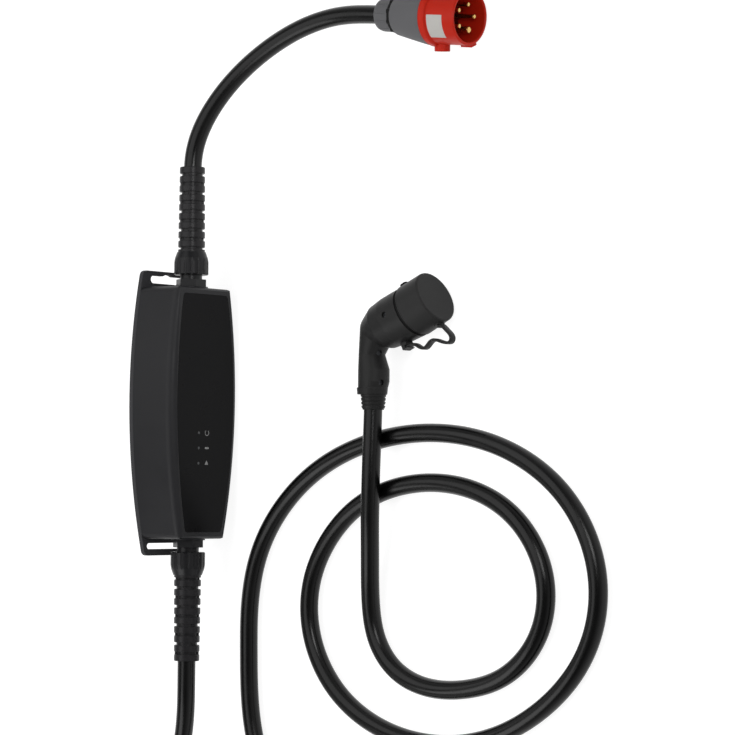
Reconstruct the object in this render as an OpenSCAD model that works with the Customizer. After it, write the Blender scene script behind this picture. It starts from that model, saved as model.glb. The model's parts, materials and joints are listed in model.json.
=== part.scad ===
// Portable vehicle charger: a control box with a supply plug on one cable and
// a vehicle connector on the other, laid out on a flat surface.
// The box lies on its right side: +X is its front, +Y its top end, +Z its left side.

/* [Control box] */
// Greatest width of the box, half way along
box_w = 106; // [80:1:140]
// Mean width of the box at its two ends
box_end_w = 78; // [60:1:120]
// Length of the box at its back
box_l = 274; // [220:1:340]
// How far each end leans in towards the front
end_draft = 1; // [0:0.5:6]
// Distance of the widest place above the middle
belly_y = 16; // [0:1:20]
// Depth of the box with its back plate
box_d = 64; // [50:1:90]
// Wall thickness of the housing
wall = 3; // [2:0.5:5]
// Rounding of the long front edges
edge_r = 10; // [4:1:16]
// Rounding of the four upright corners
corner_r = 8; // [5:1:14]
// Height of the front's gentle crown
crown = 2; // [1:0.5:6]

/* [Back plate] */
// Thickness of the back plate
plate_t = 5; // [3:0.5:8]
// How far each hanging tab stands past the box
tab_h = 18.5; // [14:0.5:30]
// Corner rounding of the tabs
tab_r = 7; // [2:1:12]
// Length of the top hanging slot
top_slot_l = 54; // [30:1:60]
// Length of the bottom hanging slot
low_slot_l = 56; // [20:1:64]
// Width of the top hanging slot
top_slot_w = 8.4; // [5:0.2:9]
// Width of the bottom hanging slot
low_slot_w = 6.6; // [5:0.2:9]
// Width of the shallow notch that centres the top slot on a hook
notch_w = 16; // [8:1:24]
// Depth of the notch
notch_h = 2; // [1:0.5:3]
// Diameter of the back plate's screws
screw_d = 4; // [3:0.5:6]
// Length of the back plate's screws under their heads
screw_l = 15; // [10:1:20]

/* [Front panel] */
// Thickness of the front panel
panel_t = 1.8; // [1:0.1:3]
// Margin of housing left along the panel's sides
panel_margin = 9; // [4:0.5:15]
// Margin of housing left at the panel's ends
panel_end = 7; // [5:0.5:15]
// Corner rounding of the panel
panel_r = 4; // [2:0.5:8]
// Diameter of the light pipes
lamp_d = 3; // [2:0.5:5]
// Spacing of the light pipes
lamp_pitch = 16.5; // [10:0.5:25]

/* [Cable entries] */
// Distance of the cable axis behind the front
entry_drop = 24; // [22:0.5:32]
// Thread diameter of the gland
thread_d = 25; // [24:1:32]
// Width of the gland's hexagon across its flats
hex_w = 29; // [28:1:40]
// Diameter of the gland nut
nut_d = 37.6; // [34:0.2:48]
// Height of the gland nut
nut_h = 25; // [18:0.5:32]
// Length of the ribbed part of the bend relief
relief_l = 91; // [50:1:140]
// Diameter of the bend relief at the nut
relief_d = 29.4; // [24:0.2:36]
// Diameter of the bend relief at its free end
relief_tip_d = 27.6; // [22:0.2:34]
// Number of ribs
ribs = 9; // [5:1:14]
// Depth of the grooves between ribs
groove = 2.6; // [1:0.1:4]

/* [Cables] */
// Diameter of both cables
cable_d = 19.5; // [12:0.5:22]

/* [Supply plug] */
// Length of the plug from its nut to its rim
plug_l = 117; // [112:1:140]
// Diameter of the plug's collar
collar_d = 62; // [58:0.5:72]
// Outer diameter of the sleeve
sleeve_d = 57; // [54:0.5:66]
// Wall of the sleeve
sleeve_wall = 3.2; // [2:0.1:5]
// Diameter of the circle that the pins stand on
pin_circle_d = 27.4; // [24:0.2:34]
// Diameter of the line pins
line_pin_d = 5; // [4:0.5:6]
// Diameter of the earth pin
earth_pin_d = 7; // [5:0.5:8]
// Length of the pins past the carrier
pin_l = 31; // [26:1:33]

/* [Vehicle connector] */
// Diameter of the connector's head
head_d = 55.5; // [48:0.5:66]
// Diameter of the dust cap
cap_d = 57; // [52:0.5:70]
// Length of the dust cap
cap_l = 31; // [24:1:45]
// Distance of the cap's rim from the corner of the connector
rim_a = 60; // [54:0.5:80]
// Width of the grip
grip_w = 27; // [22:0.5:36]
// Height of the grip
grip_h = 29; // [24:0.5:40]
// Length of the grip below the corner
grip_l = 60; // [52:1:110]
// Length of the cable nut at the end of the grip
tail_l = 16; // [10:1:24]
// Diameter of the nose under the cap
nose_d = 47; // [42:0.5:56]
// Pull that takes the cap off
cap_travel = 45; // [30:1:60]

/* [Fits] */
// Gap between a cable and the bores it runs through
cable_gap = 0.3; // [0.1:0.05:0.6]
// Squeeze of a seal on its cable
seal_squeeze = 0.15; // [0:0.05:0.4]
// Gap around threads
thread_gap = 0.2; // [0.1:0.05:0.5]
// Gap around the front panel
panel_gap = 0.25; // [0.1:0.05:0.5]
// Gap around light pipes and screws
small_gap = 0.2; // [0.1:0.05:0.5]
// Gap between the cap and the nose
cap_gap = 0.6; // [0.3:0.1:1]
// Gap around pins and contacts in their carriers
contact_gap = 0.15; // [0.05:0.05:0.3]

/* [Hidden] */
$fn = 64;

half_w = box_w / 2;
front_l = box_l - 2 * end_draft;
bow = (box_w - box_end_w) / 2;
side_r = (pow(box_l / 2, 2) + bow * bow) / (2 * bow);
crown_steps = 28;
z_back = -box_d / 2;
z_front = box_d / 2;
z_seat = z_back + plate_t;
roof = z_front - crown - panel_t - wall;
entry_z = z_front - entry_drop;
// Longer than any cut needs to be
far = 300;
cable_r = cable_d / 2;
cable_bore_r = cable_r + cable_gap;
thread_r = thread_d / 2;

// The pad outside the end wall gives the gland a square seat
pad_y = box_l / 2 + 1;
pad_in = front_l / 2 - wall - 1;
hex_h = 8;
lock_h = 7;
lock_w = hex_w + 6;
nut_y = pad_y + hex_h + 5;
nut_top = nut_y + nut_h;
neck_y = nut_top - 10;
seal_h = 6;
relief_y = nut_top + 2;
relief_end = relief_y + relief_l;
flare = 0.9;
flare_l = 18;
nut_bore_r = thread_r - 0.3;
neck_r = nut_bore_r - thread_gap;
wire_end = pad_in - 17;

// Control board and what stands on it
boss_x = 34;
boss_y = box_l / 2 - 40;
boss_r = 5;
board_l = 2 * (boss_y - 11);
board_w = 74;
board_t = 1.6;
board_z = 10;
board_back = board_z - board_t;
post_x = 31;
post_y = board_l / 2 - 20;
part_gap = 6;
terminal_l = 20;
terminal_w = 60;
terminal_h = 22;
terminal_pitch = 11;
relay_l = 32;
relay_w = 60;
relay_h = 24;
relay_y = board_l / 2 - terminal_l - part_gap - relay_l / 2;
sensor_l = 20;
sensor_w = 38;
sensor_h = 30;
sensor_y = part_gap + terminal_l - board_l / 2;
lamp_y = -38;
lamp_x = -10;
core_circle_r = 5.4;
core_d = 3.4;

// Plug: stations along its axis from the nut's back face
plug_at = [258, 415.5, collar_d / 2];
plug_yaw = -7;
plug_roll = 119;
clamp_l = 21;
cone_a = 25;
collar_a = 72;
sleeve_a = 78.5;
carrier_a = 74;
pin_base = 82;
pin_shoulder = 0.3;
carrier_neck_r = 20.4;
nose_turn = 176;
nose_l = 15;
lug_turn = 160;
sleeve_in_r = sleeve_d / 2 - sleeve_wall;

// Connector: corner where grip and head meet, and the head's heading
gun_at = [248.5, 78.3, cap_d / 2];
gun_yaw = 25.8;
head_r = head_d / 2;
cap_r = cap_d / 2;
nose_r = nose_d / 2;
cap_end = rim_a + cap_l;
nose_end = cap_end - 7;
shell_end = rim_a - 3.3;
nose_flat = 17;
power_r = 4.6;
signal_r = 3;
grip_bore_r = cable_bore_r + 0.7;
// The jacket ends here inside the grip and only the cores run on
jacket_end = 30;
core_bore_r = 8;
tail_r = 12.8;
seal_r = head_r - 1;

// Route of the supply cable, from inside the box to inside the plug
supply_route = [[entry_z, 100, half_w], [entry_z, 190, half_w], [entry_z, 256, half_w],
  [entry_z + 0.5, 283, half_w], [17.5, 309, 52], [35, 335, 50], [59, 360, 47], [90, 383, 43.5],
  [126, 402, 40], [162, 415, 36], [205, 422, 31.3], [258, 415.5, 31], [310, 409.1, 31]];
// Route of the vehicle cable, from inside the box to inside the connector
low = cable_d / 2 + 0.2;
over = cap_d / 2;
vehicle_route = [[entry_z, -100, half_w], [entry_z, -190, half_w], [entry_z, -262, half_w],
  [entry_z, -295, half_w], [6, -330, 51], [-4, -366, 46], [-26, -402, 37], [-50, -443, 27], [-58, -492, 18],
  [-36, -542, 11.5], [14, -570, low], [70, -564, low], [113, -524, low], [124, -466, low], [100, -412, low],
  [72, -366, low], [61, -312, low], [60, -255, low], [59, -200, low],
  [75, -135, low], [132, -70, low], [214, -31, low], [310, -17, low], [403, -31, low], [480, -74, low],
  [523, -139, low], [527, -209, low], [493, -273, low], [419, -326, low], [335, -346, low], [252, -336, low],
  [185, -301, low], [145, -241, low], [144, -170, low], [196, -102, low],
  [268, -73, low], [349, -71, low], [421, -99, low], [464, -159, low], [459, -224, low], [415, -270, low],
  [361, -285, low], [310, -287, low], [265, -272, low], [237, -238, low], [232, -195, 11.5], [239, -151, 20],
  [246, -111, 29.5], [248, -70, 31], [248.5, -30, 30], [248.5, 2, over], [248.5, 50, over]];
cable_sides = 12;
supply_rings = 15;
vehicle_rings = 66;

// Strap path in the connector's plane: along the head, across it
strap_t = 3;
strap_in = 30.6;
lug_h = 0.9;
strap_out = cap_r + lug_h + strap_t / 2;
strap_path = [[36.8, -strap_in], [38, -strap_in], [43, -strap_in], [48, -33], [52, -40], [58, -43.5],
  [65, -39.5], [72, -39], [79, -46.5], [87, -52.5], [92, -51], [93.5, -45.5], [90, -39], [87, -strap_out],
  [85, -strap_out], [82, -strap_out]];
strap_n = 30;
strap_w = 9;

// Smooth curve through the points of a route
function spline(a, b, c, d, t) = (pow(1 - t, 3) * a + (3 * t * t * t - 6 * t * t + 4) * b
  + (3 * t * t + 3 * t + 1 - 3 * t * t * t) * c + t * t * t * d) / 6;
function at(p, i) = p[max(0, min(len(p) - 1, i))];
function along(p, u) = let(k = min(floor(u), len(p) - 2))
  spline(at(p, k - 1), at(p, k), at(p, k + 1), at(p, k + 2), u - k);
function unit(v) = v / norm(v);
function heading(p, u) = unit(along(p, min(u + 0.02, len(p) - 1)) - along(p, max(u - 0.02, 0)));
function side_of(t) = unit(cross(abs(t[2]) < 0.9 ? [0, 0, 1] : [1, 0, 0], t));
function ring(p, u, r, n) = let(c = along(p, u), t = heading(p, u), s = side_of(t), w = cross(t, s))
  [for (k = [0 : n - 1]) c + r * (cos(360 * k / n) * s + sin(360 * k / n) * w)];

module tube(p, r, n, m) {
  span = len(p) - 1;
  pts = [for (i = [0 : m - 1]) each ring(p, span * i / (m - 1), r, n)];
  walls = [for (i = [0 : m - 2]) for (k = [0 : n - 1])
    [i * n + k, i * n + (k + 1) % n, (i + 1) * n + (k + 1) % n, (i + 1) * n + k]];
  ends = [[for (k = [n - 1 : -1 : 0]) k], [for (k = [0 : n - 1]) (m - 1) * n + k]];
  polyhedron(points = pts, faces = [for (f = concat(walls, ends)) [for (k = [len(f) - 1 : -1 : 0]) f[k]]]);
}

// Frames of the box, its two cable entries, the plug and the connector
module in_box() {
  translate([0, 0, half_w]) rotate([0, 90, 0]) children();
}
module upper_entry() {
  in_box() translate([0, 0, entry_z]) rotate([-90, 0, 0]) children();
}
module lower_entry() {
  in_box() translate([0, 0, entry_z]) rotate([90, 0, 0]) children();
}
module in_plug() {
  translate(plug_at) rotate([0, 0, plug_yaw]) rotate([0, 90, 0]) rotate([0, 0, plug_roll]) children();
}
module in_head() {
  translate(gun_at) rotate([0, 0, gun_yaw]) rotate([0, 90, 0]) children();
}
module in_grip() {
  translate(gun_at) rotate([90, 0, 0]) children();
}

// Barrel outline of the box, drawn in by an inset
module barrel(l, inset) {
  intersection() {
    translate([half_w - side_r, belly_y]) circle(r = side_r - inset, $fn = 360);
    translate([side_r - half_w, belly_y]) circle(r = side_r - inset, $fn = 360);
    square([box_w, l - 2 * inset], center = true);
  }
}
// What rounding the barrel's four corners takes away
module corner_waste(l, inset, r) {
  lap = 0.03;
  reach = side_r - inset - r + lap;
  for (s = [-1, 1]) for (m = [0, 1]) mirror([m, 0]) {
    y = s * (l / 2 - inset - r + lap);
    x = half_w - side_r + sqrt(reach * reach - pow(y - belly_y, 2));
    turn = asin((y - belly_y) / reach);
    difference() {
      polygon([[x, y], [x + 3 * r * cos(turn), y + 3 * r * sin(turn)], [x + 3 * r, y + s * 3 * r],
        [x, y + s * 3 * r]]);
      translate([x, y]) circle(r = r);
    }
  }
}
module rounded_barrel(l, inset, r) {
  difference() {
    barrel(l, inset);
    corner_waste(l, inset, r);
  }
}
// Disc with a rounded front edge: two of them cross to make the bowed sides
module round_disc(r, h, e) {
  rotate_extrude($fn = 360) {
    square([r - e, h]);
    square([r, h - e]);
    translate([r - e, h - e]) circle(r = e, $fn = 64);
  }
}
module end_profile(inset) {
  b = box_l / 2 - inset;
  f = front_l / 2 - inset;
  rotate([90, 0, 90]) linear_extrude(height = box_w + 20, center = true)
    polygon([[-b, z_seat], [b, z_seat], [f + 0.5, z_front - 6], [f - 0.8, z_front - 3.4],
      [f - 3.4, z_front - 0.8], [f - 7, z_front + 1], [7 - f, z_front + 1], [3.4 - f, z_front - 0.8],
      [0.8 - f, z_front - 3.4], [-0.5 - f, z_front - 6]]);
}
function crown_at(y) = z_front - crown * pow(y / (front_l / 2), 2);
// Everything below the crowned front, lowered by a drop
module crown_roll(drop) {
  reach = front_l / 2 + 12;
  step = 2 * reach / crown_steps;
  rotate([90, 0, 90]) linear_extrude(height = box_w + 40, center = true)
    polygon(concat([[reach, -100], [-reach, -100]],
      [for (k = [0 : crown_steps]) [-reach + k * step, crown_at(-reach + k * step) - drop]]));
}
module box_form(inset, top) {
  difference() {
    intersection() {
      translate([half_w - side_r, belly_y, z_seat])
        round_disc(side_r - inset, top - z_seat, edge_r - inset / 2);
      translate([side_r - half_w, belly_y, z_seat])
        round_disc(side_r - inset, top - z_seat, edge_r - inset / 2);
      end_profile(inset);
    }
    translate([0, 0, z_seat - 1]) linear_extrude(height = box_d) corner_waste(box_l, inset, corner_r - inset);
  }
}
module panel_block(gap) {
  l = front_l + 2 * (panel_margin - panel_end);
  translate([0, 0, z_front - 20]) linear_extrude(height = 40)
    rounded_barrel(l, panel_margin - gap, panel_r + gap);
}
module at_lamps() {
  for (k = [-1 : 1]) translate([lamp_x, lamp_y + k * lamp_pitch, 0]) children();
}
module at_bosses() {
  for (x = [-boss_x, boss_x]) for (y = [-boss_y, boss_y]) translate([x, y, 0]) children();
}

module housing() {
  color("#323234") in_box() {
    difference() {
      union() {
        intersection() {
          box_form(0, z_front);
          crown_roll(0);
        }
        for (s = [-1, 1]) translate([0, s * pad_in, entry_z]) rotate([-s * 90, 0, 0])
          cylinder(r = hex_w / 2 + 4, h = pad_y - pad_in);
      }
      difference() {
        translate([0, 0, -0.01]) box_form(wall, roof);
        for (s = [-1, 1]) translate([0, s * pad_in, entry_z]) rotate([-s * 90, 0, 0])
          cylinder(r = hex_w / 2 + 4, h = pad_y - pad_in);
        at_bosses() translate([0, 0, z_seat - 1]) cylinder(r = boss_r, h = box_d);
        for (x = [-post_x, post_x]) for (y = [-post_y, post_y])
          translate([x, y, board_z]) cylinder(r = 3.5, h = box_d);
      }
      difference() {
        panel_block(panel_gap);
        crown_roll(panel_t);
      }
      for (s = [-1, 1]) translate([0, s * (pad_in - 5), entry_z]) rotate([-s * 90, 0, 0])
        cylinder(r = thread_r + thread_gap, h = pad_y - pad_in + 10);
      at_bosses() translate([0, 0, z_seat - 1]) cylinder(d = screw_d, h = screw_l + 2);
      at_lamps() cylinder(d = lamp_d + 2 * small_gap, h = box_d);
    }
  }
}

module slot(l, w) {
  for (x = [-1, 1]) translate([x * (l - w) / 2, 0]) circle(d = w);
  square([l - w, w], center = true);
}
// The plate carries the barrel's curve on into its two hanging tabs
module plate_outline() {
  slot_y = (box_l + tab_h) / 2;
  notch_r = (pow(notch_w / 2, 2) + notch_h * notch_h) / (2 * notch_h);
  difference() {
    rounded_barrel(box_l + 2 * tab_h, 0, tab_r);
    translate([0, slot_y]) slot(top_slot_l, top_slot_w);
    translate([0, slot_y]) intersection() {
      translate([0, top_slot_w / 2 + notch_h - notch_r]) circle(r = notch_r);
      translate([-notch_w, 0]) square([2 * notch_w, notch_w]);
    }
    translate([0, 1 - slot_y]) slot(low_slot_l, low_slot_w);
  }
}
module seal_track() {
  difference() {
    rounded_barrel(box_l, 0.9, corner_r - 0.9);
    rounded_barrel(box_l, 2.4, corner_r - 2.4);
  }
}
module back_plate() {
  color("#2c2c2e") in_box() {
    difference() {
      translate([0, 0, z_back]) linear_extrude(height = plate_t) plate_outline();
      translate([0, 0, z_seat - 1]) linear_extrude(height = 2) seal_track();
      at_bosses() {
        translate([0, 0, z_back - 1]) cylinder(d = screw_d + 2 * small_gap, h = plate_t + 2);
        translate([0, 0, z_back - 1]) cylinder(d = 2 * screw_d + 0.6, h = 3.6);
      }
    }
  }
}
module housing_seal() {
  color("#151515") in_box() translate([0, 0, z_seat - 1]) linear_extrude(height = 1) seal_track();
}
module back_screws() {
  color("#8d9094") in_box() at_bosses() {
    difference() {
      translate([0, 0, z_back + 0.4]) cylinder(d = 2 * screw_d, h = 2.2);
      translate([0, 0, z_back - 1]) cylinder(d = 2.6, h = 2.6, $fn = 6);
    }
    translate([0, 0, z_back + 2.5]) cylinder(d = screw_d, h = screw_l);
  }
}
module front_panel() {
  color("#1b1b1c") in_box() difference() {
    intersection() {
      panel_block(0);
      crown_roll(0);
    }
    crown_roll(panel_t);
    at_lamps() cylinder(d = lamp_d + 2 * small_gap, h = box_d);
  }
}
module light_pipes() {
  color("#c9d3d6") in_box() intersection() {
    at_lamps() translate([0, 0, board_z]) cylinder(d = lamp_d, h = box_d);
    crown_roll(0);
  }
}
module control_board() {
  color("#1f5a3a") in_box() difference() {
    translate([-board_w / 2, -board_l / 2, board_z - board_t]) cube([board_w, board_l, board_t]);
    for (x = [-post_x, post_x]) for (y = [-post_y, post_y])
      translate([x, y, board_z - 5]) cylinder(d = 3.2, h = 10);
  }
}
module power_relays() {
  color("#20242c") in_box() for (k = [0, 1])
    translate([-relay_w / 2, relay_y - relay_l / 2 - k * (relay_l + 2), board_back - relay_h])
      cube([relay_w, relay_l, relay_h]);
}
module current_sensor() {
  color("#30343a") in_box() difference() {
    translate([-sensor_w / 2, sensor_y, board_back - sensor_h]) cube([sensor_w, sensor_l, sensor_h]);
    translate([0, sensor_y - 1, board_back - sensor_h / 2]) rotate([-90, 0, 0])
      cylinder(r = sensor_w / 4, h = sensor_l + 2);
  }
}
module terminal(s) {
  in_box() difference() {
    translate([-terminal_w / 2, (s * (board_l - terminal_l) - terminal_l) / 2, board_back - terminal_h])
      cube([terminal_w, terminal_l, terminal_h]);
    for (k = [-2 : 2])
      translate([k * terminal_pitch, s * (board_l - terminal_l) / 2, board_back - terminal_h - 1])
        cylinder(d = 6, h = 5);
  }
}
module supply_terminal() {
  color("#3f6f4e") terminal(1);
}
module vehicle_terminal() {
  color("#3f6f4e") terminal(-1);
}
module cores() {
  for (k = [0 : 4]) rotate([0, 0, 90 + 72 * k]) translate([core_circle_r, 0, board_l / 2])
    cylinder(d = core_d, h = wire_end - board_l / 2);
}
module supply_cores() {
  color("#7a5a34") upper_entry() cores();
}
module vehicle_cores() {
  color("#7a5a34") lower_entry() cores();
}

// One cable entry, drawn along +Z
module gland_body() {
  difference() {
    union() {
      translate([0, 0, pad_in - 10]) cylinder(r = thread_r, h = pad_y - pad_in + 11);
      translate([0, 0, pad_y]) cylinder(d = hex_w / cos(30), h = hex_h, $fn = 6);
      translate([0, 0, pad_y]) cylinder(r = neck_r, h = neck_y - pad_y);
    }
    translate([0, 0, pad_in - 20]) cylinder(r = cable_bore_r, h = far);
  }
}
module lock_nut() {
  difference() {
    translate([0, 0, pad_in - lock_h]) cylinder(d = lock_w, h = lock_h, $fn = 6);
    translate([0, 0, pad_in - lock_h - 1]) cylinder(r = thread_r + thread_gap, h = lock_h + 2);
  }
}
module gland_nut() {
  r = nut_d / 2;
  difference() {
    rotate_extrude() polygon([[nut_bore_r, nut_y], [r - 0.8, nut_y], [r, nut_y + 0.8],
      [r, nut_y + nut_h * 0.55], [r - 0.7, nut_y + nut_h * 0.72], [r - 2.1, nut_y + nut_h * 0.88],
      [r - 3.2, nut_top], [relief_d / 2 + thread_gap, nut_top],
      [relief_d / 2 + thread_gap, neck_y + seal_h], [nut_bore_r, neck_y + seal_h]]);
    for (k = [0 : 15]) rotate([0, 0, 22.5 * k]) translate([r + 0.9, 0, nut_y - 1])
      cylinder(r = 1.8, h = nut_h * 0.8, $fn = 24);
  }
}
module cable_seal() {
  difference() {
    translate([0, 0, neck_y]) cylinder(r = nut_bore_r - 0.1, h = seal_h);
    translate([0, 0, neck_y - 1]) cylinder(r = cable_r - seal_squeeze, h = seal_h + 2);
  }
}
module bend_relief() {
  pitch = relief_l / ribs;
  gap_h = pitch * 0.3;
  difference() {
    union() {
      translate([0, 0, neck_y + seal_h]) cylinder(d = relief_d, h = relief_y - neck_y - seal_h + 0.6);
      translate([0, 0, relief_y])
        cylinder(d1 = relief_d - 2 * groove, d2 = relief_tip_d - 2 * groove, h = relief_l);
      for (k = [0 : ribs - 1]) {
        f = k / (ribs - 1);
        d = relief_d + (relief_tip_d - relief_d) * f;
        translate([0, 0, relief_y + k * pitch + gap_h]) {
          cylinder(d = d - 0.8, h = pitch - gap_h);
          translate([0, 0, 0.7]) cylinder(d = d, h = pitch - gap_h - 1.4);
        }
      }
      for (k = [0 : ribs - 1]) {
        d = relief_tip_d - 1.2;
        translate([0, 0, relief_y + k * pitch]) rotate([0, 0, 45 + 90 * (k % 2)]) intersection() {
          cylinder(d = d, h = gap_h + 1);
          translate([-d, -4, 0]) cube([2 * d, 8, gap_h + 1]);
        }
      }
    }
    translate([0, 0, neck_y]) cylinder(r = cable_bore_r, h = relief_l + 40);
    // The bore flares where the cable leaves
    translate([0, 0, relief_end - flare_l])
      cylinder(r1 = cable_bore_r, r2 = cable_bore_r + flare, h = flare_l + 0.01);
  }
}
module upper_gland_body() {
  color("#1d1d1e") upper_entry() gland_body();
}
module upper_lock_nut() {
  color("#1d1d1e") upper_entry() lock_nut();
}
module upper_gland_nut() {
  color("#1d1d1e") upper_entry() gland_nut();
}
module upper_seal() {
  color("#101010") upper_entry() cable_seal();
}
module upper_relief() {
  color("#242425") upper_entry() bend_relief();
}
module lower_gland_body() {
  color("#1d1d1e") lower_entry() gland_body();
}
module lower_lock_nut() {
  color("#1d1d1e") lower_entry() lock_nut();
}
module lower_gland_nut() {
  color("#1d1d1e") lower_entry() gland_nut();
}
module lower_seal() {
  color("#101010") lower_entry() cable_seal();
}
module lower_relief() {
  color("#242425") lower_entry() bend_relief();
}

// Supply plug, drawn along +Z from its nut
module plug_clamp_nut() {
  color("#6a6a6b") in_plug() difference() {
    rotate_extrude() polygon([[cable_bore_r, 0], [14, 0], [16.4, 1.6], [17.4, 5], [17.8, clamp_l],
      [cable_bore_r, clamp_l]]);
    for (k = [0 : 11]) rotate([0, 0, 30 * k]) translate([18.9, 0, 4])
      cylinder(r = 1.9, h = clamp_l - 7, $fn = 24);
  }
}
module plug_nut_seal() {
  color("#141414") in_plug() translate([0, 0, clamp_l]) linear_extrude(height = cone_a - clamp_l)
    difference() {
      union() {
        circle(r = 18.8);
        for (k = [0 : 9]) rotate(36 * k + 18) translate([16.6, 0]) circle(r = 3.4, $fn = 24);
      }
      circle(r = cable_bore_r);
    }
}
module plug_housing() {
  r = collar_d / 2;
  color("#6a6a6b") in_plug() difference() {
    rotate_extrude() polygon([[cable_bore_r, cone_a], [19.6, cone_a], [21, cone_a + 1.6], [24.2, cone_a + 16],
      [28, cone_a + 34], [r - 1.4, collar_a - 5], [r - 0.8, collar_a], [r - 6.5, collar_a],
      [r - 6.5, collar_a - 6], [21, cone_a + 16], [17, cone_a + 5], [cable_bore_r, cone_a + 5]]);
    for (k = [0 : 5]) rotate([0, 0, 60 * k + 30]) translate([r + 3.4, 0, cone_a + 8])
      cylinder(r = 5, h = 30, $fn = 32);
  }
}
module plug_grip() {
  color("#2a2a2a") in_plug() difference() {
    translate([0, 0, cone_a + 5]) cylinder(r = 16.6, h = 9);
    translate([0, 0, cone_a]) cylinder(r = cable_r - seal_squeeze, h = 20);
  }
}
module plug_sleeve() {
  r = collar_d / 2;
  color("#c02112") in_plug() difference() {
    union() {
      rotate_extrude() polygon([[r - 6.6, collar_a - 6], [r - 6.6, collar_a], [r - 1, collar_a],
        [r, collar_a + 1.2], [r, sleeve_a], [r - 0.6, sleeve_a + 1.5], [sleeve_d / 2, sleeve_a + 2.5],
        [sleeve_d / 2, plug_l - 1], [sleeve_d / 2 - 0.8, plug_l], [sleeve_in_r + 0.6, plug_l],
        [sleeve_in_r, plug_l - 0.8], [sleeve_in_r, carrier_a], [r - 8.6, carrier_a],
        [r - 8.6, collar_a - 6]]);
      // Nose beside the earth pin
      rotate([0, 0, nose_turn]) translate([sleeve_d / 2 - 1.4, -4.2, plug_l - nose_l])
        cube([3.6, 8.4, nose_l - 1]);
      // Lug for the lid of a socket
      rotate([0, 0, lug_turn]) hull() for (a = [sleeve_a + 1, sleeve_a + 4])
        translate([r - 4, 0, a]) rotate([0, 90, 0]) cylinder(r = 7, h = 8.5, $fn = 32);
    }
    translate([0, 0, collar_a - 10]) cylinder(r = r - 8.6, h = carrier_a - collar_a + 10);
    translate([0, 0, carrier_a - 0.01]) cylinder(r = sleeve_in_r, h = far);
  }
}
module at_pins(from, to) {
  for (k = [from : to]) rotate([0, 0, 180 + 72 * k]) translate([pin_circle_d / 2, 0, 0]) children();
}
module pin_carrier() {
  color("#6d0a08") in_plug() difference() {
    union() {
      translate([0, 0, carrier_a]) cylinder(r = sleeve_in_r - contact_gap, h = pin_base - carrier_a);
      translate([0, 0, carrier_a - 12]) cylinder(r = carrier_neck_r, h = 13);
      translate([0, 0, pin_base - 1]) cylinder(r = 6, h = 9);
    }
    at_pins(1, 4) translate([0, 0, carrier_a - 20]) cylinder(d = pin_bore(line_pin_d), h = far);
    at_pins(0, 0) translate([0, 0, carrier_a - 20]) cylinder(d = pin_bore(earth_pin_d), h = far);
  }
}
function pin_bore(d) = d + 2 * (pin_shoulder + contact_gap);
// A pin with a shoulder inside the carrier and a rounded tip
module pin(d) {
  r = d / 2;
  tip = pin_base + pin_l;
  rotate_extrude($fn = 32) polygon([[0, carrier_a - 14], [r + pin_shoulder, carrier_a - 14],
    [r + pin_shoulder, pin_base], [r, pin_base], [r, tip - 1.6], [r - 0.5, tip - 0.5], [r - 1.5, tip],
    [0, tip]]);
}
module line_pins() {
  color("#b8a36a") in_plug() at_pins(1, 4) pin(line_pin_d);
}
module earth_pin() {
  color("#b8a36a") in_plug() at_pins(0, 0) pin(earth_pin_d);
}
module plug_terminals() {
  color("#a98c4a") in_plug() at_pins(0, 4) difference() {
    translate([0, 0, carrier_a - 26]) cylinder(r = 4.8, h = 12, $fn = 32);
    translate([0, 0, carrier_a - 27]) cylinder(r = 2, h = 9, $fn = 32);
  }
}

// Vehicle connector
module grip_section(b, w, h, shift) {
  in_grip() translate([shift, 0, b]) scale([w / 2, h / 2, 1]) cylinder(r = 1, h = 0.8, $fn = 40);
}
// Round corner between grip and head, and round sections of the head set off its axis
module corner_ball() {
  in_head() translate([0, 4.8, 8.4]) sphere(r = 19, $fn = 48);
}
module head_section(a, r, shift) {
  in_head() translate([0, shift, a]) cylinder(r = r, h = 1, $fn = 64);
}
module shell_form() {
  hull() {
    head_section(17, head_r - 2.7, 3.2);
    head_section(32, head_r - 0.7, 2);
    head_section(48, head_r - 0.2, 0.8);
    head_section(shell_end - 1, head_r, 0);
  }
  hull() {
    corner_ball();
    head_section(17, head_r - 2.7, 3.2);
  }
  hull() {
    corner_ball();
    grip_section(18, grip_w, grip_h, -2.5);
  }
  hull() {
    grip_section(18, grip_w, grip_h, -2.5);
    grip_section(34, grip_w + 6.8, grip_h + 3, 0.3);
    grip_section(46, grip_w + 6.8, grip_h + 3, 0.3);
    grip_section(grip_l - 6, grip_w + 4.8, grip_h + 1, -1);
  }
  hull() {
    grip_section(grip_l - 7, grip_w + 6.6, grip_h + 2.2, -1.5);
    grip_section(grip_l - 0.8, grip_w + 5.6, grip_h + 0.8, -1.5);
  }
}
// Screw wells: one on top of the head, two on the grip
module at_screws() {
  in_head() translate([0, 0, 41]) rotate([0, 0, -7]) rotate([0, -90, 0])
    translate([0, 0, nose_r + 0.6]) children();
  for (p = [[17, 22, core_bore_r + 1.2], [48, 20, grip_bore_r + 1.6]]) in_grip() translate([0, 0, p[0]])
    rotate([0, 0, p[1]]) rotate([0, 90, 0]) translate([0, 0, p[2]]) children();
}
module shell_half(up) {
  difference() {
    shell_form();
    translate([gun_at[0], gun_at[1], gun_at[2] + (up ? -far / 2 : far / 2)]) cube(far, center = true);
    in_head() translate([0, 0, 24]) cylinder(r = nose_r - 1.6, h = far);
    in_head() cylinder(r1 = core_bore_r - 1, r2 = nose_r - 1.6, h = 24.01);
    in_grip() cylinder(r = core_bore_r, h = far);
    in_grip() translate([0, 0, jacket_end]) cylinder(r = grip_bore_r, h = far);
    translate(gun_at) sphere(r = core_bore_r);
    if (up) at_screws() cylinder(d = 6, h = 40, $fn = 32);
  }
}
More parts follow.
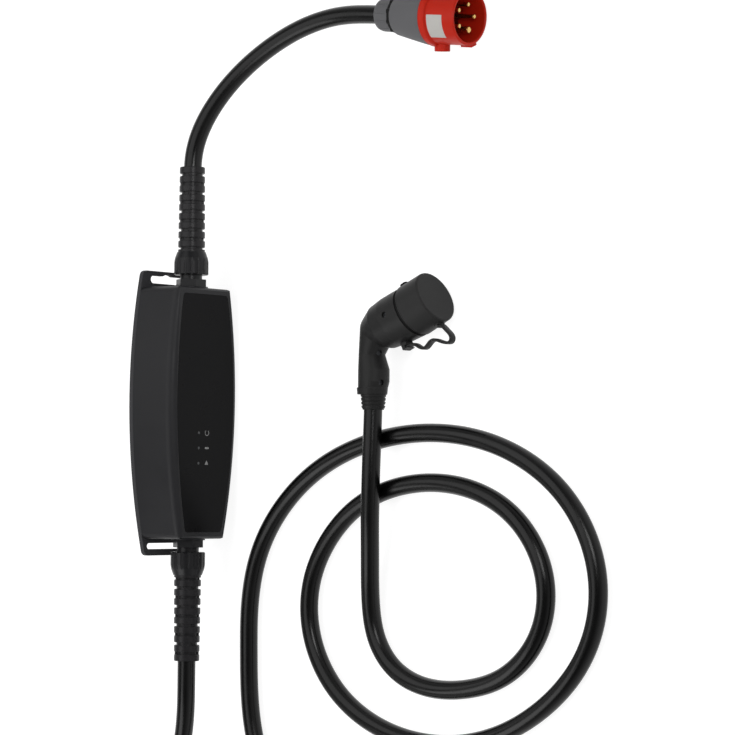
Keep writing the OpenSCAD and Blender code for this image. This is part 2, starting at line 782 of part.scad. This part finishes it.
module connector_shell_upper() {
  color("#2f2f30") shell_half(true);
}
module connector_shell_lower() {
  color("#2f2f30") shell_half(false);
}
module connector_screws() {
  color("#55585c") at_screws() difference() {
    cylinder(d = 6 - 2 * small_gap, h = 1.2, $fn = 32);
    translate([0, 0, 0.5]) cylinder(d = 2.6, h = 3, $fn = 6);
  }
}
module at_power() {
  for (p = [[-14.4, 0], [0, 0], [14.4, 0], [-7.6, -13], [7.6, -13]]) translate([p[0], p[1], 0]) children();
}
module at_signal() {
  for (x = [-6.4, 6.4]) translate([x, 11, 0]) children();
}
// Everything below the flat that keys the nose
module nose_side() {
  translate([0, nose_flat - far / 2, 0]) cube(far, center = true);
}
module connector_nose() {
  color("#202021") in_head() difference() {
    union() {
      translate([0, 0, shell_end - 12]) cylinder(r = nose_r - 1.8, h = 12);
      intersection() {
        translate([0, 0, shell_end]) cylinder(r = nose_r, h = nose_end - shell_end);
        nose_side();
      }
    }
    at_power() translate([0, 0, shell_end - 20]) cylinder(r = power_r, h = far, $fn = 32);
    at_signal() translate([0, 0, shell_end - 20]) cylinder(r = signal_r, h = far, $fn = 32);
  }
}
module contact(r, h) {
  difference() {
    translate([0, 0, shell_end - 12]) cylinder(r = r, h = h, $fn = 32);
    translate([0, 0, shell_end]) cylinder(r = r - 1.2, h = far, $fn = 32);
  }
}
module power_contacts() {
  color("#b9bcc0") in_head() at_power() contact(power_r - contact_gap, 34);
}
module signal_contacts() {
  color("#b9bcc0") in_head() at_signal() contact(signal_r - contact_gap, 30);
}
module nose_seal() {
  color("#0d0d0d") in_head() difference() {
    translate([0, 0, shell_end]) cylinder(r = seal_r, h = 3);
    intersection() {
      translate([0, 0, shell_end - 1]) cylinder(r = nose_r, h = 10);
      nose_side();
    }
  }
}
module connector_tail() {
  pitch = tail_l / 4;
  color("#1c1c1d") in_grip() difference() {
    union() {
      translate([0, 0, grip_l]) cylinder(r1 = tail_r, r2 = tail_r - 1.6, h = tail_l);
      for (k = [0 : 3]) translate([0, 0, grip_l + k * pitch])
        cylinder(r1 = tail_r + 0.8 - k * 0.3, r2 = tail_r + 0.4 - k * 0.4, h = pitch * 0.62);
    }
    translate([0, 0, grip_l - 1]) cylinder(r = cable_bore_r, h = far);
  }
}
module strap_anchor() {
  color("#1c1c1d") in_head() difference() {
    translate([-6, -strap_in - 2.2, 33]) cube([12, 8, 7]);
    translate([0, 1.4, 32]) cylinder(r1 = head_r - 1.15, r2 = head_r - 0.2, h = 9, $fn = 96);
    translate([-20, -strap_in - strap_t / 2 - 0.01, 36.99]) cube([40, strap_t + 0.02, 10]);
  }
}
module dust_cap() {
  color("#2b2b2c") in_head() {
    difference() {
      union() {
        rotate_extrude($fn = 96) polygon([[0, rim_a], [cap_r - 0.8, rim_a], [cap_r, rim_a + 0.8],
          [cap_r - 0.6, cap_end - 1.8], [cap_r - 1.1, cap_end - 0.5], [cap_r - 2.4, cap_end], [0, cap_end]]);
        // Catch over the shell and lug for the strap
        translate([-4.5, cap_r - 1.2, rim_a - 2.8]) cube([9, 2.6, 7]);
        translate([-5.5, -cap_r - lug_h, cap_end - 11]) cube([11, 3, 6]);
      }
      translate([0, 0, rim_a - 1]) cylinder(r = nose_r + cap_gap, h = cap_l - 3.4);
    }
  }
}
function strap_edge(side) = [for (i = [0 : strap_n])
  let(u = i / 2, p = along(strap_path, u), t = heading(strap_path, u))
    p + side * strap_t / 2 * [-t[1], t[0]]];
module cap_strap() {
  color("#1d1d1e") in_head() rotate([0, -90, 0]) linear_extrude(height = strap_w, center = true)
    polygon(concat(strap_edge(1), [for (i = [strap_n : -1 : 0]) strap_edge(-1)[i]]));
}
module supply_cable() {
  color("#141414") tube(supply_route, cable_r, cable_sides, supply_rings);
}
module vehicle_cable() {
  color("#141414") tube(vehicle_route, cable_r, cable_sides, vehicle_rings);
}

housing();
back_plate();
housing_seal();
back_screws();
front_panel();
light_pipes();
control_board();
power_relays();
current_sensor();
supply_terminal();
vehicle_terminal();
supply_cores();
vehicle_cores();
upper_gland_body();
upper_lock_nut();
upper_gland_nut();
upper_seal();
upper_relief();
lower_gland_body();
lower_lock_nut();
lower_gland_nut();
lower_seal();
lower_relief();
plug_clamp_nut();
plug_nut_seal();
plug_housing();
plug_grip();
plug_sleeve();
pin_carrier();
plug_terminals();
line_pins();
earth_pin();
connector_shell_upper();
connector_shell_lower();
connector_screws();
connector_nose();
power_contacts();
signal_contacts();
nose_seal();
connector_tail();
strap_anchor();
dust_cap();
cap_strap();
supply_cable();
vehicle_cable();
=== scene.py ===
"""Looks of a portable vehicle charger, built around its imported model.

The control box lies on its right side: +X is its front, +Y its top end and +Z its left side.
"""

import json
import math

import bmesh
import bpy
from mathutils import Matrix, Vector


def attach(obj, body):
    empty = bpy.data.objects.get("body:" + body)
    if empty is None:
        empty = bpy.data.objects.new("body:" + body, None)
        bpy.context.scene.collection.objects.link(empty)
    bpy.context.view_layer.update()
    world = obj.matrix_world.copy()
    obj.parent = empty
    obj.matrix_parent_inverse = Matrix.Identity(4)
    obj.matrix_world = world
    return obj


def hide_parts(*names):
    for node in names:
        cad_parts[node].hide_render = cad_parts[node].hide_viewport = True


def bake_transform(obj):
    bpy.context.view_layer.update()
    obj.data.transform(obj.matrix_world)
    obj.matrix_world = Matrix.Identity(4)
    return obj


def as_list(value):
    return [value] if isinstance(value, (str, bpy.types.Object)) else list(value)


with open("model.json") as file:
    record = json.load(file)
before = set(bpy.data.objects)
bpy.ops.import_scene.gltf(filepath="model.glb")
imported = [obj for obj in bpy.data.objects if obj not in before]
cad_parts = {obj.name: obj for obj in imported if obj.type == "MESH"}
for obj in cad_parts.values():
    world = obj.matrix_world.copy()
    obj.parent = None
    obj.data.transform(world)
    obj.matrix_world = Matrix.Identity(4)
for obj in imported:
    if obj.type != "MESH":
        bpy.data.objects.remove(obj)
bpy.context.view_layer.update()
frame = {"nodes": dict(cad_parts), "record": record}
NODES = frame["nodes"]
MM = 0.001

# Camera: leans from straight down towards the box's front
LEAN = math.radians(40)
DIP = math.radians(2.3)
ROLL = math.radians(0.55)
RANGE = 3.0
CLIP_END = 20.0
TARGET = Vector((0.233, 0.047, 0.020))
LENS = 140.0
SENSOR = 36.0

# Cables: the routes of the construction, in millimetres
CABLE_D = 19.5
LOW = CABLE_D / 2 + 0.2
OVER = 28.5
SUPPLY_ROUTE = [
    (8, 100, 53), (8, 190, 53), (8, 256, 53), (8.5, 283, 53), (17.5, 309, 52), (35, 335, 50), (59, 360, 47),
    (90, 383, 43.5), (126, 402, 40), (162, 415, 36), (205, 422, 31.3), (258, 415.5, 31), (310, 409.1, 31),
]
VEHICLE_ROUTE = [
    (8, -100, 53), (8, -190, 53), (8, -262, 53), (8, -295, 53), (6, -330, 51), (-4, -366, 46),
    (-26, -402, 37), (-50, -443, 27), (-58, -492, 18), (-36, -542, 11.5), (14, -570, LOW), (70, -564, LOW),
    (113, -524, LOW), (124, -466, LOW), (100, -412, LOW), (72, -366, LOW), (61, -312, LOW), (60, -255, LOW),
    (59, -200, LOW), (75, -135, LOW), (132, -70, LOW), (214, -31, LOW), (310, -17, LOW), (403, -31, LOW),
    (480, -74, LOW), (523, -139, LOW), (527, -209, LOW), (493, -273, LOW), (419, -326, LOW), (335, -346, LOW),
    (252, -336, LOW), (185, -301, LOW), (145, -241, LOW), (144, -170, LOW), (196, -102, LOW), (268, -73, LOW),
    (349, -71, LOW), (421, -99, LOW), (464, -159, LOW), (459, -224, LOW), (415, -270, LOW), (361, -285, LOW),
    (310, -287, LOW), (265, -272, LOW), (237, -238, LOW), (232, -195, 11.5), (239, -151, 20),
    (246, -111, 29.5), (248, -70, 31), (248.5, -30, 30), (248.5, 2, OVER), (248.5, 50, OVER),
]
ROUTE_PARTS = 60
CABLE_STEP = 4.0
CABLE_SIDES = 24

# Ends of the cables: tips of the bend reliefs and of the connector's tail along Y, and the tuck inside them.
# In X, the vehicle route's box end lies below BOX_SIDE and its connector end above CONNECTOR_SIDE.
RELIEF_END = 269.0
TAIL_END = 2.0
CABLE_TUCK = 8.0
BOX_SIDE = 20
CONNECTOR_SIDE = 240

# Supply plug: nut's back face, heading, and the bare label on its sleeve (stations, angles from straight up)
PLUG_AT = Vector((258, 415.5, 31))
PLUG_YAW = math.radians(-7)
SLEEVE_R = 28.5
LABEL_ALONG = (82.5, 102.5)
LABEL_ROUND = (-3.0, -54.5)
LABEL_LIFT = (-0.1, 0.12)
LABEL_STEPS = 24

# Vehicle connector: corner, heading and the cap's strap (along the head, across it)
GUN_AT = Vector((248.5, 78.3, 28.5))
GUN_YAW = math.radians(25.8)
STRAP_IN = 30.6
STRAP_OUT = 30.9
STRAP_PATH = [
    (36.8, -STRAP_IN), (38, -STRAP_IN), (43, -STRAP_IN), (48, -33), (52, -40), (58, -43.5), (65, -39.5),
    (72, -39), (79, -46.5), (87, -52.5), (92, -51), (93.5, -45.5), (90, -39), (87, -STRAP_OUT),
    (85, -STRAP_OUT), (82, -STRAP_OUT),
]
STRAP_T = 3.0
STRAP_W = 9.0
STRAP_STEP = 1.2
STRAP_SIDES = 20
# Two stations along the head
STRAP_BENDS = (42, 84)

# The cap's catch: place along the head, half its length and width, heights of base, shoulder and top
CATCH_AT = 60.8
CATCH_HALF = (4.5, 5.1)
CATCH_UP = (28.0, 29.95, 31.4)
CATCH_STEPS = 5
CATCH_SIDES = 32

# Front panel: crown of its face and the row of signs beside its lamps
FRONT_X = 32.0
CROWN = 2.0
FRONT_L = 272.0
SIGN_Z = 50.5
SIGN_Y = (-21.5, -38.0, -54.5)
SIGN_SIZE = 6.4
SIGN_LIFT = (-0.1, 0.08)
RING_LINE = 0.8
RING_GAP = math.radians(35)
RING_STEPS = 40
BAR_R = 1.1
BAR_STEPS = 8
TRIANGLE_TURNS = (90, 210, 330)

PLUG_PIECES = [
    "plug_clamp_nut", "plug_nut_seal", "plug_housing", "plug_grip", "plug_sleeve", "pin_carrier",
    "plug_terminals", "line_pins", "earth_pin",
]
CONNECTOR_PIECES = [
    "connector_shell_upper", "connector_shell_lower", "connector_screws", "connector_nose", "power_contacts",
    "signal_contacts", "nose_seal", "connector_tail", "strap_anchor", "dust_cap",
]
LOFTED_NODES = ("connector_shell_upper", "connector_shell_lower")
SHARP_ANGLE = math.radians(32)

# Finish of each slot of the record: sRGB colour, roughness, size of the grain in metres, strength of its
# relief, specular level, radius of softened edges in millimetres, and how metallic it is
FINISHES = {
    "housing_plastic": ((32, 32, 34), 0.42, 0.0007, 0.3, 0.18, 0.8, 0),
    # plate_plastic is the housing's own plastic; its lighter colour is painted light that brightens the back
    # plate's shaded faces
    "plate_plastic": ((56, 56, 58), 0.6, 0.0007, 0.3, 0.12, 0.6, 0),
    "panel_gloss": ((16, 16, 17), 0.3, 0.0003, 0.03, 0.06, 0.3, 0),
    "clear_plastic": ((62, 64, 66), 0.25, 0.0004, 0.15, 0.3, 0, 0),
    "board": ((30, 90, 58), 0.35, 0.0004, 0.15, 0.5, 0, 0),
    "module_plastic": ((34, 36, 42), 0.45, 0.0004, 0.15, 0.5, 0, 0),
    "terminal_plastic": ((63, 111, 78), 0.45, 0.0004, 0.15, 0.5, 0, 0),
    "brass": ((214, 178, 110), 0.24, 0.0002, 0.08, 0.5, 0.3, 1),
    "plated_contact": ((200, 202, 205), 0.25, 0.0002, 0.08, 0.5, 0, 1),
    "steel": ((60, 61, 63), 0.4, 0.0002, 0.1, 0.5, 0.2, 1),
    "seal_rubber": ((14, 14, 14), 0.6, 0.0005, 0.2, 0.15, 0, 0),
    "gland_plastic": ((20, 20, 22), 0.3, 0.0005, 0.15, 0.22, 0.5, 0),
    "relief_rubber": ((26, 25, 27), 0.35, 0.0006, 0.25, 0.22, 0.6, 0),
    "grey_plastic": ((88, 88, 90), 0.55, 0.0006, 0.25, 0.2, 0.8, 0),
    "red_plastic": ((176, 32, 14), 0.4, 0.0005, 0.1, 0.12, 0.6, 0),
    "dark_red_plastic": ((72, 4, 6), 0.5, 0.0005, 0.15, 0.1, 0, 0),
    "cap_rubber": ((44, 44, 44), 0.42, 0.0005, 0.25, 0.07, 0.6, 0),
    "cable_jacket": ((5, 5, 5), 0.25, 0.0009, 0.05, 0.25, 0, 0),
    "connector_plastic": ((32, 32, 32), 0.42, 0.0006, 0.3, 0.15, 0.7, 0),
    "label": ((176, 174, 170), 0.5, 0.0003, 0.05, 0.2, 0, 0),
    "pale_print": ((135, 135, 135), 0.5, 0.0003, 0.05, 0.2, 0, 0),
}

# Unevenness that all finishes share: slow clouds of tint and gloss, and the grain's height as a share
# of its size
CLOUD_SCALE = 28
CLOUD_DETAIL = 5
CLOUD_SPAN = (0.3, 0.7)
TINT_SPREAD = 0.06
GLOSS_SPREAD = 0.05
LEAST_ROUGH = 0.02
GRAIN_DETAIL = 2
GRAIN_HEIGHT = 0.25
EDGE_SAMPLES = 4

# Floor: greys that light the object and that show, and the glow that makes the shown one white
FLOOR_SIZE = 12
FLOOR_AT = (0.2, 0, -0.0005)
FLOOR_PLAIN = 0.8
FLOOR_SHOWN = 0.32
FLOOR_GLOW = 0.86

# Light of the surroundings, 1 being white, between two heights of the direction looked in
SKY_SPAN = (0.05, 0.75)
HORIZON_LEVEL = 0.9
OVERHEAD_LEVEL = 0.15

# Point that all lamps face
LAMP_TARGET = Vector((0.25, 0.0, 0.03))


def camera():
    """The photograph's view of the object."""
    back = Vector((math.sin(LEAN) * math.cos(DIP), -math.sin(DIP), math.cos(LEAN) * math.cos(DIP)))
    up = Vector((0, 1, 0))
    up = (up - back * up.dot(back)).normalized()
    right = up.cross(back)
    right, up = (
        right * math.cos(ROLL) + up * math.sin(ROLL),
        up * math.cos(ROLL) - right * math.sin(ROLL),
    )
    data = bpy.data.cameras.new("camera")
    data.lens = LENS
    data.sensor_width = SENSOR
    data.clip_end = CLIP_END
    eye = bpy.data.objects.new("camera", data)
    turned = Matrix((right, up, back)).transposed().to_4x4()
    eye.matrix_world = Matrix.Translation(TARGET + back * RANGE) @ turned
    bpy.context.collection.objects.link(eye)
    bpy.context.scene.camera = eye


def spline_point(points, u):
    """Point of the uniform cubic curve that the route's points guide."""
    last = len(points) - 1
    k = min(int(u), last - 1)
    t = u - k
    weights = (
        (1 - t) ** 3,
        3 * t**3 - 6 * t**2 + 4,
        3 * t**2 + 3 * t + 1 - 3 * t**3,
        t**3,
    )
    near = [Vector(points[max(0, min(last, k + d))]) for d in (-1, 0, 1, 2)]
    return sum((p * w for p, w in zip(near, weights)), Vector()) / 6


def route_line(points, step):
    """Points a step apart along a route's curve."""
    last = (len(points) - 1) * ROUTE_PARTS
    line = [spline_point(points, 0)]
    for i in range(1, last + 1):
        p = spline_point(points, i / ROUTE_PARTS)
        if (p - line[-1]).length >= step:
            line.append(p)
    return line


def length_of(line):
    return sum((b - a).length for a, b in zip(line, line[1:]))


def loft(name, rings, smooth=True):
    """A closed piece through equal rings of points in millimetres."""
    mesh = bmesh.new()
    rows = [[mesh.verts.new(p * MM) for p in ring] for ring in rings]
    count = len(rows[0])
    for low, high in zip(rows, rows[1:]):
        for k in range(count):
            face = mesh.faces.new((low[k], low[(k + 1) % count], high[(k + 1) % count], high[k]))
            face.smooth = smooth
    mesh.faces.new(rows[0][::-1])
    mesh.faces.new(rows[-1])
    bmesh.ops.recalc_face_normals(mesh, faces=mesh.faces)
    data = bpy.data.meshes.new(name)
    mesh.to_mesh(data)
    mesh.free()
    piece = bpy.data.objects.new(name, data)
    bpy.context.collection.objects.link(piece)
    return piece


def cable(name, line):
    """A round cable along a line in millimetres."""
    rings = []
    side = Vector((0, 0, 1))
    for before, here, after in zip(line[:1] + line, line, line[1:] + line[-1:]):
        heading = (after - before).normalized()
        side = (side - heading * side.dot(heading)).normalized()
        other = heading.cross(side)
        turns = (2 * math.pi * k / CABLE_SIDES for k in range(CABLE_SIDES))
        rings.append([here + (side * math.cos(t) + other * math.sin(t)) * CABLE_D / 2 for t in turns])
    return loft(name, rings)


def cables(on_plug, on_connector):
    """Both cables, from inside their bend reliefs to inside the plug and the connector."""
    supply = [
        p
        for p in route_line(SUPPLY_ROUTE, CABLE_STEP)
        if p.y > RELIEF_END - CABLE_TUCK and p.x < PLUG_AT.x + CABLE_TUCK
    ]
    vehicle = [
        p
        for p in route_line(VEHICLE_ROUTE, CABLE_STEP)
        if not (p.x < BOX_SIDE and p.y > CABLE_TUCK - RELIEF_END)
        and not (p.x > CONNECTOR_SIDE and p.y > TAIL_END + CABLE_TUCK)
    ]
    made = []
    for name, line, exit_y, end, pieces in (
        ("supply_lead", supply, RELIEF_END, "plug", PLUG_PIECES + on_plug),
        ("vehicle_lead", vehicle, -RELIEF_END, "connector", CONNECTOR_PIECES + on_connector),
    ):
        piece = cable(name, line)
        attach(piece, "charger")
        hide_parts(name.replace("lead", "cable"))
        round(length_of(line) * MM, 3)
        [p * MM for p in line]
        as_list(pieces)
        made.append(piece)
    return made


def heading_frame(at, yaw):
    """Places points given along a heading, across it and up from it."""
    ahead = Vector((math.cos(yaw), math.sin(yaw), 0))
    across = Vector((-math.sin(yaw), math.cos(yaw), 0))
    return lambda along, aside, up: at + ahead * along + across * aside + Vector((0, 0, up))


def strap():
    """The cap's strap: a flat band with rounded edges that runs between connector and cap."""
    place = heading_frame(GUN_AT, GUN_YAW)
    points = [(a, b, 0) for a, b in STRAP_PATH]
    line = route_line(points, STRAP_STEP)
    round_edge = STRAP_T / 2
    edge = STRAP_W / 2 - round_edge
    rings = []
    for before, here, after in zip(line[:1] + line, line, line[1:] + line[-1:]):
        heading = (after - before).normalized()
        out = Vector((-heading.y, heading.x, 0))
        ring = []
        for k in range(STRAP_SIDES):
            turn = 2 * math.pi * k / STRAP_SIDES
            p = here + out * round_edge * math.cos(turn)
            ring.append(place(p.x, p.y, math.copysign(edge, math.sin(turn)) + round_edge * math.sin(turn)))
        rings.append(ring)
    piece = loft("strap", rings)
    fixed, free = STRAP_BENDS
    place(fixed, 0, 0) * MM
    place(free, 0, 0) * MM
    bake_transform(piece)
    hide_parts("cap_strap")
    return piece


def catch():
    """The cap's catch: a rounded knob that laps over the connector's rim."""
    place = heading_frame(GUN_AT, GUN_YAW)
    base, shoulder, top = CATCH_UP
    edge = top - shoulder
    levels = [(base, 0)]
    for k in range(CATCH_STEPS + 1):
        turn = math.pi / 2 * k / CATCH_STEPS
        levels.append((shoulder + edge * math.sin(turn), edge * (1 - math.cos(turn))))
    rings = []
    for level, inset in levels:
        ring = []
        for k in range(CATCH_SIDES):
            turn = 2 * math.pi * k / CATCH_SIDES
            along, across = (
                math.copysign(math.sqrt(abs(share)), share) * (half - inset)
                for share, half in zip((math.cos(turn), math.sin(turn)), CATCH_HALF)
            )
            ring.append(place(CATCH_AT + along, level, across))
        rings.append(ring)
    piece = loft("cap_catch", rings)
    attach(piece, "dust_cap")
    return piece


def label():
    """A bare label on the plug's sleeve."""
    place = heading_frame(PLUG_AT, PLUG_YAW)
    start, end = LABEL_ALONG
    first, last = LABEL_ROUND
    sunk, proud = LABEL_LIFT
    rings = []
    for k in range(LABEL_STEPS + 1):
        angle = math.radians(first + (last - first) * k / LABEL_STEPS)
        ring = []
        for station, lift in ((start, sunk), (end, sunk), (end, proud), (start, proud)):
            r = SLEEVE_R + lift
            ring.append(place(station, r * math.sin(angle), r * math.cos(angle)))
        rings.append(ring)
    piece = loft("sleeve_label", rings, smooth=False)
    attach(piece, "charger")
    return piece


def sign(name, outline):
    """A thin flat sign on the crowned panel; its outline has points right of its middle and along Y."""
    def on_panel(p, lift):
        right, y = p
        return Vector((FRONT_X - CROWN * (y / (FRONT_L / 2)) ** 2 + lift, y, SIGN_Z - right))
    piece = loft(name, [[on_panel(p, lift) for p in outline] for lift in SIGN_LIFT], smooth=False)
    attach(piece, "charger")
    return piece


def signs():
    """Plain signs beside the lamps: an open ring, a bar and a triangle."""
    half = SIGN_SIZE / 2
    top, middle, bottom = SIGN_Y
    round_trip = range(RING_STEPS + 1)
    ring = []
    for r, turns in ((half, round_trip), (half - RING_LINE, reversed(round_trip))):
        for k in turns:
            turn = math.pi / 2 + RING_GAP + (2 * math.pi - 2 * RING_GAP) * k / RING_STEPS
            ring.append((r * math.cos(turn), top + r * math.sin(turn)))
    bar = []
    for side in (1, -1):
        for k in range(BAR_STEPS + 1):
            turn = math.pi * k / BAR_STEPS - math.pi / 2 * side
            bar.append((side * (half - BAR_R) + BAR_R * math.cos(turn), middle + BAR_R * math.sin(turn)))
    triangle = []
    for degrees in TRIANGLE_TURNS:
        turn = math.radians(degrees)
        triangle.append((half * math.cos(turn), bottom + half * math.sin(turn)))
    return [sign("sign_ring", ring), sign("sign_bar", bar), sign("sign_triangle", triangle)]


def linear(value):
    """Linear light of an sRGB value from 0 to 255."""
    v = value / 255
    return v / 12.92 if v <= 0.04045 else ((v + 0.055) / 1.055) ** 2.4


def material(name, srgb, rough, grain, relief, specular, round_mm, metal):
    """A moulded or turned surface: uneven colour and gloss, a fine grain and softened edges."""
    m = bpy.data.materials.new(name)
    m.use_nodes = True
    tree = m.node_tree
    nodes, links = tree.nodes, tree.links
    shader = nodes["Principled BSDF"]
    shader.inputs["Metallic"].default_value = metal
    shader.inputs["Specular IOR Level"].default_value = specular
    coords = nodes.new("ShaderNodeTexCoord")

    cloud = nodes.new("ShaderNodeTexNoise")
    cloud.inputs["Scale"].default_value = CLOUD_SCALE
    cloud.inputs["Detail"].default_value = CLOUD_DETAIL
    links.new(coords.outputs["Object"], cloud.inputs["Vector"])

    colour = [linear(value) for value in srgb]
    tint = nodes.new("ShaderNodeMix")
    tint.data_type = "RGBA"
    tint.inputs["A"].default_value = tuple(c * (1 - TINT_SPREAD) for c in colour) + (1,)
    tint.inputs["B"].default_value = tuple(min(1, c * (1 + TINT_SPREAD)) for c in colour) + (1,)
    links.new(cloud.outputs["Fac"], tint.inputs["Factor"])
    links.new(tint.outputs["Result"], shader.inputs["Base Color"])

    gloss = nodes.new("ShaderNodeMapRange")
    gloss.inputs["From Min"].default_value, gloss.inputs["From Max"].default_value = CLOUD_SPAN
    gloss.inputs["To Min"].default_value = max(LEAST_ROUGH, rough - GLOSS_SPREAD)
    gloss.inputs["To Max"].default_value = min(1, rough + GLOSS_SPREAD)
    links.new(cloud.outputs["Fac"], gloss.inputs["Value"])
    links.new(gloss.outputs["Result"], shader.inputs["Roughness"])

    texture = nodes.new("ShaderNodeTexNoise")
    texture.inputs["Scale"].default_value = 1 / grain
    texture.inputs["Detail"].default_value = GRAIN_DETAIL
    links.new(coords.outputs["Object"], texture.inputs["Vector"])
    bump = nodes.new("ShaderNodeBump")
    bump.inputs["Strength"].default_value = relief
    bump.inputs["Distance"].default_value = grain * GRAIN_HEIGHT
    links.new(texture.outputs["Fac"], bump.inputs["Height"])
    if round_mm:
        soft = nodes.new("ShaderNodeBevel")
        soft.samples = EDGE_SAMPLES
        soft.inputs["Radius"].default_value = round_mm * MM
        links.new(soft.outputs["Normal"], bump.inputs["Normal"])
    links.new(bump.outputs["Normal"], shader.inputs["Normal"])
    return m


def dress(looks):
    """Every carried-over node takes its slot's material."""
    for row in frame["record"]["subparts"]:
        node = NODES[row["node"]]
        node.data.materials.clear()
        node.data.materials.append(looks[row["material_slot"]])
    for name in LOFTED_NODES:
        NODES[name].data.shade_smooth()
        NODES[name].data.set_sharp_from_angle(angle=SHARP_ANGLE)


def lamp(name, at, size, level):
    """A soft rectangular lamp that faces the object; level is its brightness, 1 being white."""
    data = bpy.data.lights.new(name, "AREA")
    data.shape = "RECTANGLE"
    data.size, data.size_y = size
    data.energy = level * math.pi * size[0] * size[1]
    light = bpy.data.objects.new(name, data)
    aim = LAMP_TARGET - Vector(at)
    light.location = at
    light.rotation_euler = aim.to_track_quat("-Z", "Y").to_euler()
    bpy.context.collection.objects.link(light)


def seen_directly(tree):
    """1 for rays that show the background: seen, mirrored or looked through."""
    path = tree.nodes.new("ShaderNodeLightPath")
    first = tree.nodes.new("ShaderNodeMath")
    first.operation = "MAXIMUM"
    second = tree.nodes.new("ShaderNodeMath")
    second.operation = "MAXIMUM"
    tree.links.new(path.outputs["Is Camera Ray"], first.inputs[0])
    tree.links.new(path.outputs["Is Glossy Ray"], first.inputs[1])
    tree.links.new(first.outputs[0], second.inputs[0])
    tree.links.new(path.outputs["Is Transmission Ray"], second.inputs[1])
    return second.outputs[0]


def floor():
    """A pale floor that shows white and keeps the shadows on it."""
    bpy.ops.mesh.primitive_plane_add(size=FLOOR_SIZE, location=FLOOR_AT)
    ground = bpy.context.object
    ground.name = "floor"
    m = bpy.data.materials.new("floor")
    m.use_nodes = True
    tree = m.node_tree
    tree.nodes.remove(tree.nodes["Principled BSDF"])
    plain = tree.nodes.new("ShaderNodeBsdfDiffuse")
    plain.inputs["Color"].default_value = (FLOOR_PLAIN, FLOOR_PLAIN, FLOOR_PLAIN, 1)
    shown = tree.nodes.new("ShaderNodeBsdfDiffuse")
    shown.inputs["Color"].default_value = (FLOOR_SHOWN, FLOOR_SHOWN, FLOOR_SHOWN, 1)
    glow = tree.nodes.new("ShaderNodeEmission")
    glow.inputs["Strength"].default_value = FLOOR_GLOW
    both = tree.nodes.new("ShaderNodeAddShader")
    pick = tree.nodes.new("ShaderNodeMixShader")
    tree.links.new(shown.outputs[0], both.inputs[0])
    tree.links.new(glow.outputs[0], both.inputs[1])
    tree.links.new(seen_directly(tree), pick.inputs[0])
    tree.links.new(plain.outputs[0], pick.inputs[1])
    tree.links.new(both.outputs[0], pick.inputs[2])
    tree.links.new(pick.outputs[0], tree.nodes["Material Output"].inputs["Surface"])
    ground.data.materials.append(m)


def surroundings():
    """Pale at the horizon and dim overhead, so that tops mirror little."""
    world = bpy.data.worlds.new("surroundings")
    bpy.context.scene.world = world
    world.use_nodes = True
    tree = world.node_tree
    sky = tree.nodes["Background"]
    sky.inputs["Color"].default_value = (1, 1, 1, 1)
    coords = tree.nodes.new("ShaderNodeTexCoord")
    parts = tree.nodes.new("ShaderNodeSeparateXYZ")
    level = tree.nodes.new("ShaderNodeMapRange")
    level.inputs["From Min"].default_value, level.inputs["From Max"].default_value = SKY_SPAN
    level.inputs["To Min"].default_value = HORIZON_LEVEL
    level.inputs["To Max"].default_value = OVERHEAD_LEVEL
    tree.links.new(coords.outputs["Generated"], parts.inputs["Vector"])
    tree.links.new(parts.outputs["Z"], level.inputs["Value"])
    tree.links.new(level.outputs["Result"], sky.inputs["Strength"])


def studio():
    """Floor, surroundings and soft lamps."""
    floor()
    surroundings()
    lamp("key_lamp", (-0.15, 0.4, 1.5), (1.8, 1.6), 1.6)
    lamp("side_lamp", (-0.25, -0.95, 1.2), (1.0, 0.9), 3.0)
    lamp("front_lamp", (1.1, 0.35, 0.95), (0.4, 0.4), 8.0)


bpy.context.scene.view_settings.view_transform = "Standard"
camera()
band = strap()
sticker = label()
knob = catch()
leads = cables([sticker], [band, knob])
looks = {slot: material(slot, *finish) for slot, finish in FINISHES.items()}
for slot, pieces in (
    ("cable_jacket", leads),
    ("cap_rubber", [band]),
    ("seal_rubber", [knob]),
    ("label", [sticker]),
    ("pale_print", signs()),
):
    for piece in pieces:
        piece.data.materials.append(looks[slot])
dress(looks)
studio()
